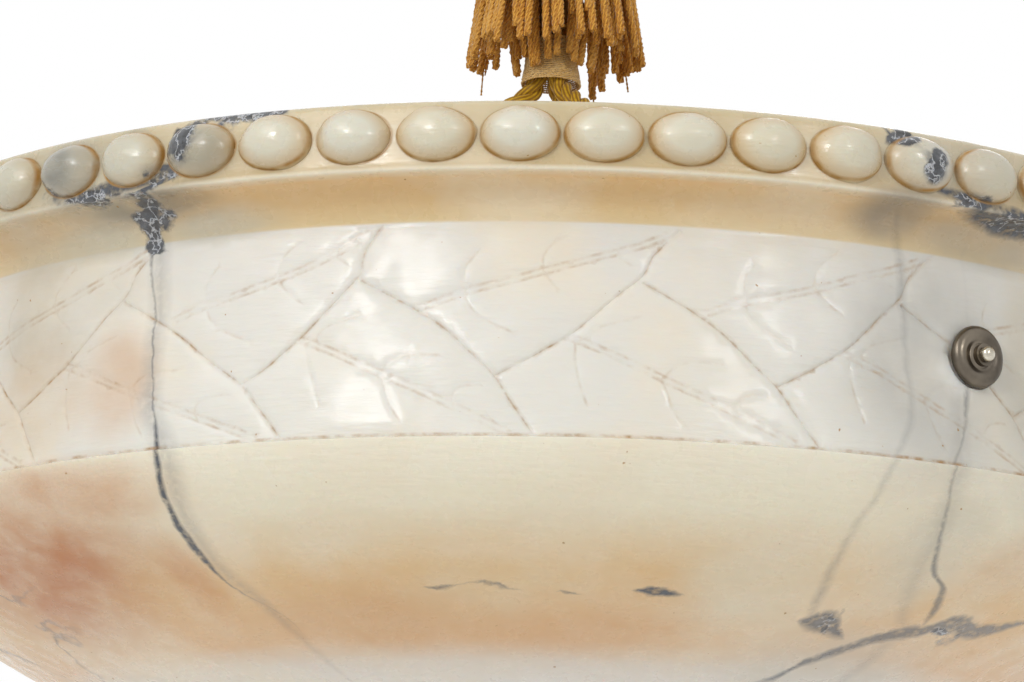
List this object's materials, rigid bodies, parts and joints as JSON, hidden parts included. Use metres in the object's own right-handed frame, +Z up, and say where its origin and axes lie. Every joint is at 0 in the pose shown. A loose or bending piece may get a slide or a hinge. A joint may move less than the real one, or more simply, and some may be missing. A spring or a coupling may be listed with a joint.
{
  "type": "alabaster bowl pendant light",
  "caption": "Carved alabaster bowl pendant with a beaded rim and leaf band, hung by silk ropes from a sliding tassel and a swivelling ceiling hook, with lamps inside.",
  "frame": {"origin": "on the ceiling, at the centre of the ceiling plate's back and on the pendant's axis", "axes": "+Z up, -Y towards the front from which the picture was taken, +X to the right"},
  "size_m": [0.4641, 0.4642, 0.5566],
  "materials": {
    "alabaster": "polished and waxed carved alabaster",
    "aged_brass": "aged, lacquer worn",
    "patinated_brass": "dark patina, rubbed at the edges",
    "bronze": "turned",
    "dark_rubber": "matt",
    "white_ceramic": "glazed",
    "steel": "plain",
    "painted_steel": "brass-coloured lacquer",
    "gold_silk": "twisted silk rope",
    "whipping_silk": "wound silk thread",
    "tassel_silk": "twisted bullion cord",
    "felt": "pressed felt",
    "nickel": "pressed and plated",
    "frosted_glass": "frosted"
  },
  "bodies": {
    "ceiling": {"ceiling_plate": "aged_brass", "hook_bush": "bronze", "flex_bush": "dark_rubber", "terminal_block": "white_ceramic"},
    "hook": {"swivel_hook": "aged_brass", "hook_nut": "aged_brass"},
    "shackle": {"shackle": "aged_brass", "shackle_pin": "aged_brass", "shackle_nut": "aged_brass"},
    "pendant": {"rope_cap": "aged_brass", "cap_screws": "steel", "main_rope": "gold_silk", "rope_cup": "aged_brass", "cup_screws": "steel", "silk_whipping": "whipping_silk", "rope_front_right": "gold_silk", "rope_rear_right": "gold_silk", "rope_left": "gold_silk", "rope_ferrule_front_right": "aged_brass", "rope_ferrule_rear_right": "aged_brass", "rope_ferrule_left": "aged_brass", "eye_bolts": "aged_brass", "inner_felt_washers": "felt", "outer_felt_washers": "felt", "rosette_front_right": "patinated_brass", "rosette_rear_right": "patinated_brass", "rosette_left": "patinated_brass", "rosette_nuts": "patinated_brass", "alabaster_bowl": "alabaster", "lamp_frame": "painted_steel", "frame_screws": "steel", "lamp_cluster": "aged_brass", "cluster_cover": "aged_brass", "cluster_gland": "aged_brass", "cluster_nipples": "aged_brass", "lampholder_shell_right": "aged_brass", "lampholder_shell_rear_left": "aged_brass", "lampholder_shell_front_left": "aged_brass", "lampholder_liner_right": "white_ceramic", "lampholder_liner_rear_left": "white_ceramic", "lampholder_liner_front_left": "white_ceramic", "shade_ring_right": "aged_brass", "shade_ring_rear_left": "aged_brass", "shade_ring_front_left": "aged_brass"},
    "tassel": {"tassel_head": "tassel_silk", "tassel_band": "tassel_silk", "tassel_ring": "tassel_silk", "tassel_skirt": "tassel_silk"},
    "lamp_right": {"lamp_cap_right": "nickel", "bulb_right": "frosted_glass"},
    "lamp_rear_left": {"lamp_cap_rear_left": "nickel", "bulb_rear_left": "frosted_glass"},
    "lamp_front_left": {"lamp_cap_front_left": "nickel", "bulb_front_left": "frosted_glass"}
  },
  "joints": [
    {"name": "hook_swivel", "type": "hinge", "parent": "ceiling", "child": "hook", "pos_m": [0, 0, -0.012], "axis": [0, 0, 1], "range_deg": [-170, 170]},
    {"name": "shackle_swing", "type": "hinge", "parent": "hook", "child": "shackle", "pos_m": [0, 0, -0.056], "axis": [1, 0, 0], "range_deg": [-30, 30]},
    {"name": "pendant_swing", "type": "hinge", "parent": "shackle", "child": "pendant", "pos_m": [0, 0, -0.074], "axis": [0, 1, 0], "range_deg": [-30, 30]},
    {"name": "tassel_lift", "type": "slide", "parent": "pendant", "child": "tassel", "axis": [0, 0, 1], "range_m": [0, 0.06]},
    {"name": "lamp_out_right", "type": "slide", "parent": "pendant", "child": "lamp_right", "axis": [0.9986, 0.0523, 0], "range_m": [0, 0.03]},
    {"name": "lamp_out_rear_left", "type": "slide", "parent": "pendant", "child": "lamp_rear_left", "axis": [-0.5446, 0.8387, 0], "range_m": [0, 0.03]},
    {"name": "lamp_out_front_left", "type": "slide", "parent": "pendant", "child": "lamp_front_left", "axis": [-0.454, -0.891, 0], "range_m": [0, 0.03]}
  ]
}
